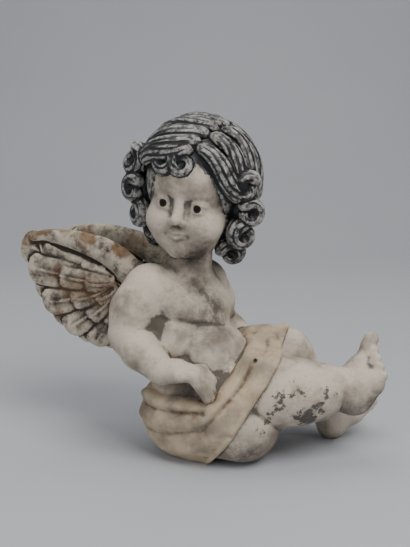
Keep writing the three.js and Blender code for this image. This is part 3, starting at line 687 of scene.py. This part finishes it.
def web_surface(root, along):
    """The thin plate that carries the feathers: a fan-shaped outline given a thickness."""
    root, along = np.array(root, float), unit(along)
    out = unit(np.cross(along, (0, 0, 1)))
    t = np.linspace(0, 1, 13)
    angle = mix(FAN_FROM + 0.1, FAN_TO, t)
    rim = WING_FAN + (reach_at(t) * 0.86)[:, None] * np.stack([np.cos(angle), np.sin(angle)], 1)
    outline = np.concatenate([[WING_FAN - 14], rim])
    flat = root + outline[:, :1] * along + outline[:, 1:] * np.array([0, 0, 1])
    points = np.concatenate([flat - out * WEB_THICKNESS / 2, flat + out * WEB_THICKNESS / 2])
    n = len(outline)
    here = np.arange(n)
    after = (here + 1) % n
    walls = np.stack([here, here + n, after + n, after], 1)
    fan = np.arange(1, n - 1)
    lower = np.stack([np.zeros_like(fan), fan, fan + 1, fan + 1], 1)
    upper = np.stack([np.full_like(fan, n), n + fan + 1, n + fan, n + fan], 1)
    return points, np.concatenate([walls, lower, upper])


# ---------- one skin ----------


def to_world(points):
    """From the head's frame to the part's."""
    matrix = np.array(HEAD_FRAME)
    return points @ matrix[:3, :3].T + matrix[:3, 3]


def gather_surfaces():
    """Every surface of the figure as (zone, points, quads), in the part's frame."""
    made = [("body", *field_surface(body, (-122, -92, -12), (178, 136, 262), BODY_CELL))]
    made.append(("skin", *field_surface(
        lambda p: hand(p, PALMS[0], RIGHT_FINGERS, RIGHT_THUMB),
        (-80, -82, 60), (16, 0, 132), EXTREMITY_CELL)))
    made.append(("skin", *field_surface(
        lambda p: hand(p, PALMS[1], LEFT_FINGERS, LEFT_THUMB),
        (24, 30, 66), (104, 104, 124), EXTREMITY_CELL)))
    made.append(("skin", *field_surface(
        lambda p: foot(p, RIGHT_FOOT, RIGHT_TOES), (104, -50, 32), (200, 34, 146), EXTREMITY_CELL)))
    made.append(("skin", *field_surface(
        lambda p: foot(p, LEFT_FOOT, LEFT_TOES), (106, 18, -8), (204, 92, 64), EXTREMITY_CELL)))

    def in_head(zone, surface):
        """The head's frame mirrors, so each face is turned round as it is placed."""
        points, quads = surface
        made.append((zone, to_world(points), quads[:, [1, 0, 3, 2]]))

    in_head("skin", field_surface(face, (-62, -72, -76), (62, 72, 72), HEAD_CELL))
    in_head("hair", field_surface(hair_cap, (-104, -96, -92), (104, 84, 96), 2 * HEAD_CELL))
    for n, rows in enumerate(lock_paths()):
        in_head("hair", strand_surface(rows, lambda c: c - CAP_CENTRE, 9, 0.8 * (-1) ** n))
    for centre, axis, size, hand_, angle in CURLS:
        rows = curl_path(centre, axis, CURL_RADIUS * size, hand_, math.radians(angle))
        in_head("hair", strand_surface(rows, lambda c: np.tile(axis, (len(c), 1)), 7, 1.5))
    for wing in WINGS:
        made.extend(("wing", *surface) for surface in wing_surfaces(*wing))
        made.append(("wing", *web_surface(*wing)))
    return made


def new_object(name, points, quads):
    """A mesh object in metres; a quad whose last two corners are the same is a triangle."""
    mesh = bpy.data.meshes.new(name)
    corners = [q if q[2] != q[3] else q[:3] for q in quads.tolist()]
    mesh.from_pydata((points / 1000).tolist(), [], corners)
    mesh.update()
    made = bpy.data.objects.new(name, mesh)
    bpy.context.scene.collection.objects.link(made)
    return made


def modified_mesh(obj):
    """The mesh of an object with its modifiers applied, as a copy."""
    graph = bpy.context.evaluated_depsgraph_get()
    return bpy.data.meshes.new_from_object(obj.evaluated_get(graph))


def fuse(surfaces):
    """Joins closed surfaces into one skin and cuts it flat where the figure rests."""
    points = np.concatenate([p for _, p, _ in surfaces])
    starts = np.cumsum([0] + [len(p) for _, p, _ in surfaces[:-1]])
    quads = np.concatenate([q + start for start, (_, _, q) in zip(starts, surfaces)])
    points[:, 2] = np.maximum(points[:, 2], 0)
    statue = new_object("painted_statue", points, quads)
    remesh = statue.modifiers.new("fuse", "REMESH")
    remesh.mode = "VOXEL"
    remesh.voxel_size = SKIN_VOXEL / 1000
    remesh.use_smooth_shade = True
    mesh = modified_mesh(statue)
    statue.modifiers.clear()
    statue.data = mesh
    mesh.calc_loop_triangles()
    reduce = statue.modifiers.new("reduce", "DECIMATE")
    reduce.ratio = min(1.0, MOST_TRIANGLES / len(mesh.loop_triangles))
    mesh = modified_mesh(statue)
    statue.modifiers.clear()
    statue.data = mesh
    return statue


# ---------- the paint's masks, point by point ----------


def columns(mesh, kind):
    """The coordinates or the normals of a mesh's points, in millimetres or as unit vectors."""
    values = np.empty(len(mesh.vertices) * 3)
    if kind == "co":
        mesh.vertices.foreach_get("co", values)
        return values.reshape(-1, 3) * 1000
    mesh.vertex_normals.foreach_get("vector", values)
    return values.reshape(-1, 3)


def smoothed(values, edges, rounds):
    """Each round moves a value to the mean of its neighbours along the edges."""
    a, b = edges.T
    degree = np.bincount(np.concatenate([a, b]), minlength=len(values))[:, None]
    for _ in range(rounds):
        sums = []
        for column in values.T:
            total = np.bincount(a, column[b], len(column))
            sums.append(total + np.bincount(b, column[a], len(column)))
        values = np.stack(sums, 1) / degree
    return values


def nearest_zones(points, surfaces):
    """For each point the zone of the surface whose corner lies nearest."""
    sources = [(zone, p[::2]) for zone, p, _ in surfaces]
    tree = KDTree(sum(len(p) for _, p in sources))
    labels = []
    for zone, some in sources:
        for co in some.tolist():
            tree.insert(co, len(labels))
            labels.append(zone)
    tree.balance()
    return np.array([labels[tree.find(co)[1]] for co in points.tolist()])


# Where grime has settled or painted shade darkens (under chest, chin, belly and foot), and where
# the paint has flaked: (place, reach in millimetres, strength).
GRIME_AND_SHADE = [
    ((4, -2, 158), 24, 1.0),
    ((-44, 0, 160), 20, 0.7),
    ((-14, 4, 186), 18, 0.8),
    ((-24, 10, 222), 22, 0.8),
    ((22, -14, 96), 26, 0.9),
    ((-20, -22, 128), 20, 0.5),
    ((-62, -10, 150), 16, 0.5),
    ((30, -60, 24), 30, 0.5),
    ((162, -30, 60), 22, 0.4),
    ((176, -10, 74), 24, 0.8),
    ((-30, 80, 250), 50, 0.6),
]
FLAKING = [
    ((64, -54, 78), 16, 0.7),
    ((100, -46, 62), 20, 1.0),
    ((86, -50, 92), 16, 0.6),
    ((120, -36, 84), 16, 0.6),
    ((52, -58, 50), 14, 0.8),
    ((-20, 4, 194), 9, 1.0),
    ((150, -30, 70), 14, 0.5),
    ((-96, -6, 128), 14, 0.4),
]


def spots(points, table):
    """Sum of soft spots: strength * exp(-(distance / reach)^2)."""
    total = np.zeros(len(points))
    for place, reach, strength in table:
        total += strength * np.exp(-((np.linalg.norm(points - place, axis=1) / reach) ** 2))
    return np.clip(total, 0, 1)


def paint_masks(statue, surfaces):
    """Writes the masks that the material reads, one number to each point of the skin."""
    mesh = statue.data
    points, normals = columns(mesh, "co"), columns(mesh, "normal")
    edges = np.empty(len(mesh.edges) * 2, np.int32)
    mesh.edges.foreach_get("vertices", edges)
    edges = edges.reshape(-1, 2)
    near = smoothed(points, edges, 5)
    far = smoothed(near, edges, 40)
    zone = nearest_zones(points, surfaces)
    clothed = (zone == "body") & (cloth(points) < flesh(points) + 0.2)
    masks = {
        "cloth": clothed.astype(float),
        "hair": (zone == "hair").astype(float),
        "wing": (zone == "wing").astype(float),
        "ridge": np.einsum("ij,ij->i", points - near, normals),
        "hollow": np.einsum("ij,ij->i", points - far, normals),
        "grime_and_shade": spots(points, GRIME_AND_SHADE),
        "flaking": spots(points, FLAKING),
        "upward": normals[:, 2],
    }
    for name in ("cloth", "hair", "wing"):
        masks[name] = smoothed(masks[name][:, None], edges, 1)[:, 0]
    for name, values in masks.items():
        attribute = mesh.attributes.new(name, "FLOAT", "POINT")
        attribute.data.foreach_set("value", values.astype(np.float32))


# ---------- the material ----------


class Graph:
    """Short names for the nodes of a material."""

    def __init__(self, name):
        self.material = bpy.data.materials.new(name)
        self.material.use_nodes = True
        self.tree = self.material.node_tree
        self.shader = self.tree.nodes["Principled BSDF"]
        self.place = self.tree.nodes.new("ShaderNodeTexCoord").outputs["Object"]

    def put(self, socket, value):
        if isinstance(value, bpy.types.NodeSocket):
            self.tree.links.new(value, socket)
        else:
            socket.default_value = value

    def node(self, kind, **inputs):
        made = self.tree.nodes.new(kind)
        for key, value in inputs.items():
            self.put(made.inputs[key.replace("_", " ")], value)
        return made

    def mask(self, name):
        made = self.tree.nodes.new("ShaderNodeAttribute")
        made.attribute_name = name
        return made.outputs["Fac"]

    def math(self, operation, a, b=0.0):
        made = self.tree.nodes.new("ShaderNodeMath")
        made.operation = operation
        self.put(made.inputs[0], a)
        self.put(made.inputs[1], b)
        return made.outputs[0]

    def step(self, value, low, high):
        """0 below low, 1 above high, smooth between."""
        made = self.tree.nodes.new("ShaderNodeMapRange")
        made.interpolation_type = "SMOOTHSTEP"
        self.put(made.inputs["Value"], value)
        made.inputs["From Min"].default_value = low
        made.inputs["From Max"].default_value = high
        return made.outputs["Result"]

    def noise(self, per_metre, detail=4.0, rough=0.6, seed=0.0, stretch=None):
        """A noise pattern with its grain size as the inverse of `per_metre`."""
        place = self.place
        if stretch:
            made = self.tree.nodes.new("ShaderNodeMapping")
            made.inputs["Scale"].default_value = stretch
            self.put(made.inputs["Vector"], place)
            place = made.outputs["Vector"]
        made = self.tree.nodes.new("ShaderNodeTexNoise")
        made.noise_dimensions = "4D"
        self.put(made.inputs["Vector"], place)
        made.inputs["W"].default_value = seed
        made.inputs["Scale"].default_value = per_metre
        made.inputs["Detail"].default_value = detail
        made.inputs["Roughness"].default_value = rough
        return made.outputs["Fac"]

    def mix(self, factor, a, b):
        made = self.tree.nodes.new("ShaderNodeMix")
        made.data_type = "RGBA"
        self.put(made.inputs["Factor"], factor)
        self.put(made.inputs[6], a)
        self.put(made.inputs[7], b)
        return made.outputs[2]

    def distance(self, point):
        """Distance of the shaded place from a point given in millimetres, in millimetres."""
        made = self.tree.nodes.new("ShaderNodeVectorMath")
        made.operation = "DISTANCE"
        self.put(made.inputs[0], self.place)
        made.inputs[1].default_value = [c / 1000 for c in point]
        return self.math("MULTIPLY", made.outputs["Value"], 1000)


def colour(red, green, blue):
    """A colour from screen values of 0 to 255, as the shader's linear one."""

    def linear(c):
        c /= 255
        return c / 12.92 if c <= 0.04045 else ((c + 0.055) / 1.055) ** 2.4

    return (linear(red), linear(green), linear(blue), 1.0)


def skin_colour(g):
    """Chalky cream, clouded with grey; grime and painted shade in hollows and on faces turned down;
    charcoal where paint has flaked.
    """
    cloud = g.step(g.noise(22, 6, 0.62, 1), 0.42, 0.66)
    base = g.mix(cloud, colour(205, 193, 176), colour(142, 131, 118))
    speckle = g.step(g.noise(330, 3, 0.7, 2), 0.56, 0.7)
    base = g.mix(g.math("MULTIPLY", speckle, 0.45), base, colour(112, 102, 91))
    # Painted shade mixed with grime: darker in hollows, at the listed spots and on faces turned
    # down.
    grime_and_shade = g.math("ADD", g.mask("grime_and_shade"), g.step(g.mask("hollow"), -0.1, -2.2))
    grime_and_shade = g.math("ADD", grime_and_shade, g.math("MULTIPLY", g.step(g.mask("upward"), 0.2, -0.8), 0.35))
    grime_and_shade = g.math("MULTIPLY", grime_and_shade, g.step(g.noise(60, 8, 0.7, 3), 0.3, 0.62))
    base = g.mix(g.math("MINIMUM", grime_and_shade, 0.88), base, colour(62, 57, 53))
    wear = g.math("MULTIPLY", g.mask("flaking"), 0.34)
    wear = g.math("ADD", g.noise(75, 7, 0.72, 4), wear)
    flaked = g.step(wear, 0.73, 0.76)
    base = g.mix(flaked, base, g.mix(g.noise(200, 3), colour(58, 55, 54), colour(120, 112, 104)))
    return base, flaked


def cloth_colour(g):
    """Creamy grey, with ochre and brown stains that lie mostly in the folds, and painted shade with
    dirt in hollows and creases.
    """
    cloud = g.step(g.noise(30, 6, 0.6, 5), 0.4, 0.66)
    base = g.mix(cloud, colour(196, 178, 152), colour(146, 134, 118))
    sunk = g.step(g.mask("hollow"), 1.2, -2.4)
    stain = g.math("MULTIPLY", g.step(g.noise(34, 5, 0.6, 6), 0.46, 0.62), 0.9)
    stain = g.math("MULTIPLY", stain, g.math("ADD", sunk, 0.25))
    base = g.mix(g.math("MINIMUM", stain, 0.9), base, colour(120, 88, 54))
    # Painted shade mixed with dirt: darker in the folds' hollows and along fine creases.
    shade_and_dirt = g.math("MULTIPLY", g.step(g.mask("hollow"), -0.5, -3.4), g.noise(90, 5, 0.7, 7))
    shade_and_dirt = g.math("ADD", shade_and_dirt, g.math("MULTIPLY", g.step(g.mask("ridge"), -0.1, -0.5), 0.5))
    return g.mix(g.math("MINIMUM", shade_and_dirt, 0.9), base, colour(66, 57, 48))


def hair_colour(g):
    """Black lacquer with a dry brush of pale grey along the ridges of the strands."""
    ridge = g.step(g.mask("ridge"), 0.1, 0.42)
    brushed = g.math("MULTIPLY", ridge, g.step(g.noise(140, 6, 0.75, 8), 0.38, 0.6))
    dust = g.math("MULTIPLY", g.step(g.noise(40, 6, 0.7, 9), 0.5, 0.75), 0.3)
    base = g.mix(dust, colour(27, 27, 29), colour(84, 84, 84))
    return g.mix(g.math("MULTIPLY", brushed, 0.8), base, colour(186, 184, 178)), brushed


def wing_colour(g):
    """Dark grooves under a dry brush of cream, with worn bronze along the feathers' edges."""
    ridge = g.step(g.mask("ridge"), -0.22, 0.24)
    brushed = g.math("MULTIPLY", ridge, g.step(g.noise(70, 7, 0.7, 10), 0.3, 0.6))
    base = g.mix(brushed, colour(46, 40, 36), colour(196, 184, 165))
    edge = g.step(g.mask("ridge"), 0.1, 0.5)
    worn = g.step(g.noise(26, 4, 0.5, 11), 0.5, 0.6)
    bronze = g.math("MULTIPLY", worn, g.math("ADD", edge, 0.35))
    base = g.mix(g.math("MINIMUM", bronze, 0.75), base, colour(112, 80, 46))
    bald = g.step(g.noise(30, 7, 0.72, 12), 0.58, 0.66)
    return g.mix(g.math("MULTIPLY", bald, 0.5), base, colour(80, 72, 64))


def eye_colour(g, skin):
    """Painted eyes: off-white, a dark brown iris and a black pupil, on both eyeballs."""
    result = skin
    for side in (-1, 1):
        centre = np.array([side * EYE[0], EYE[1], EYE[2]])
        gaze = unit((side * 0.06, 1, -0.02))
        ball_centre = to_world(centre[None])[0]
        pupil = to_world((centre + gaze * EYE_RADIUS)[None])[0]
        white = g.step(g.distance(ball_centre), EYE_RADIUS + 0.9, EYE_RADIUS + 0.5)
        result = g.mix(white, result, colour(186, 176, 162))
        result = g.mix(g.step(g.distance(pupil), 4.5, 4.1), result, colour(34, 22, 16))
        result = g.mix(g.step(g.distance(pupil), 2.1, 1.8), result, colour(8, 7, 7))
    return result


def painted_stone():
    """One material for the whole statue; the masks choose the paint of each part."""
    g = Graph("painted_stone")
    skin, flaked = skin_colour(g)
    base = eye_colour(g, skin)
    base = g.mix(g.step(g.mask("cloth"), 0.35, 0.65), base, cloth_colour(g))
    base = g.mix(g.step(g.mask("wing"), 0.35, 0.65), base, wing_colour(g))
    haired = g.step(g.mask("hair"), 0.35, 0.65)
    hair, brushed = hair_colour(g)
    base = g.mix(haired, base, hair)
    g.put(g.shader.inputs["Base Color"], base)
    gloss = g.math("ADD", 0.36, g.math("MULTIPLY", brushed, 0.35))
    matt = g.math("ADD", 0.72, g.math("MULTIPLY", g.noise(90, 4, 0.6, 13), 0.22))
    rough = g.node("ShaderNodeMix", Factor=haired)
    g.put(rough.inputs[2], matt)
    g.put(rough.inputs[3], gloss)
    g.put(g.shader.inputs["Roughness"], rough.outputs[0])
    grain = g.noise(420, 5, 0.7, 14)
    lumps = g.math("MULTIPLY", g.noise(120, 4, 0.6, 15), 1.2)
    height = g.math("ADD", grain, lumps)
    height = g.math("SUBTRACT", height, g.math("MULTIPLY", flaked, 0.5))
    bump = g.node("ShaderNodeBump", Strength=0.55, Distance=0.0006, Height=height)
    g.put(g.shader.inputs["Normal"], bump.outputs["Normal"])
    g.shader.inputs["Specular IOR Level"].default_value = 0.35
    return g.material


# ---------- the studio ----------

LOOKED_AT = np.array([-10, 60, 190.0])
CAMERA_REACH = 1000  # from the point looked at, in millimetres
CAMERA_RISE = math.radians(12)
CAMERA_LENS = 57.72

FLOOR_FRONT, FLOOR_BACK = -2.6, 1.1  # in metres, as are the sweep's other sizes
FLOOR_HALF_WIDTH = 3.0
SWEEP_REACH = 0.9
BACKDROP_TOP = 3.2

SKY, SKY_STRENGTH = (0.5, 0.51, 0.53, 1), 0.45


def add_camera():
    """A camera at the figure's right side, a little above it."""
    back = np.array([0, -math.cos(CAMERA_RISE), math.sin(CAMERA_RISE)])
    place = LOOKED_AT + CAMERA_REACH * back
    data = bpy.data.cameras.new("camera")
    data.lens = CAMERA_LENS
    camera = bpy.data.objects.new("camera", data)
    camera.location = Vector(place / 1000)
    camera.rotation_euler = (math.pi / 2 - CAMERA_RISE, 0, 0)
    bpy.context.scene.collection.objects.link(camera)
    bpy.context.scene.camera = camera


def add_floor():
    """A pale sweep: level underfoot, then curving up into a backdrop."""
    bend = np.linspace(0, math.pi / 2, 20)
    profile = [(FLOOR_FRONT, 0.0), (FLOOR_BACK, 0.0)]
    for a in bend[1:]:
        profile.append((FLOOR_BACK + SWEEP_REACH * math.sin(a), SWEEP_REACH * (1 - math.cos(a))))
    profile.append((FLOOR_BACK + SWEEP_REACH, BACKDROP_TOP))
    edges = (-FLOOR_HALF_WIDTH, FLOOR_HALF_WIDTH)
    points = np.array([[x, y, z] for x in edges for y, z in profile]) * 1000
    n = len(profile)
    step = np.arange(n - 1)
    quads = np.stack([step, step + n, step + n + 1, step + 1], 1)
    floor = new_object("floor", points, quads)
    for polygon in floor.data.polygons:
        polygon.use_smooth = True
    g = Graph("pale_floor")
    cloud = g.mix(g.noise(3, 2), colour(186, 188, 192), colour(178, 181, 186))
    g.put(g.shader.inputs["Base Color"], cloud)
    g.shader.inputs["Roughness"].default_value = 0.9
    floor.data.materials.append(g.material)


def add_light(name, place, target, size, watts, tint):
    """A square area light that faces its target."""
    data = bpy.data.lights.new(name, "AREA")
    data.size = size
    data.energy = watts
    data.color = tint
    light = bpy.data.objects.new(name, data)
    light.location = place
    light.rotation_euler = (Vector(target) - Vector(place)).to_track_quat("-Z", "Y").to_euler()
    bpy.context.scene.collection.objects.link(light)


def add_lights():
    """A broad light above and in front to the right, a weaker fill from the left, a soft sky."""
    middle = (0, 0, 0.18)
    add_light("key", (0.7, -0.9, 1.7), middle, 1.1, 30, (1, 0.985, 0.96))
    add_light("fill", (-1.3, -1.2, 0.9), middle, 1.4, 9, (0.96, 0.98, 1))
    add_light("top", (-0.2, 0.5, 2.0), middle, 1.6, 16, (1, 1, 1))
    world = bpy.data.worlds.new("studio")
    world.use_nodes = True
    background = world.node_tree.nodes["Background"]
    background.inputs["Color"].default_value = SKY
    background.inputs["Strength"].default_value = SKY_STRENGTH
    bpy.context.scene.world = world


add_camera()
add_floor()
add_lights()

surfaces = gather_surfaces()
statue = fuse(surfaces)
paint_masks(statue, surfaces)
statue.data.materials.clear()
statue.data.materials.append(painted_stone())
for polygon in statue.data.polygons:
    polygon.use_smooth = True
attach(statue, "root")
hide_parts("putto_statue")
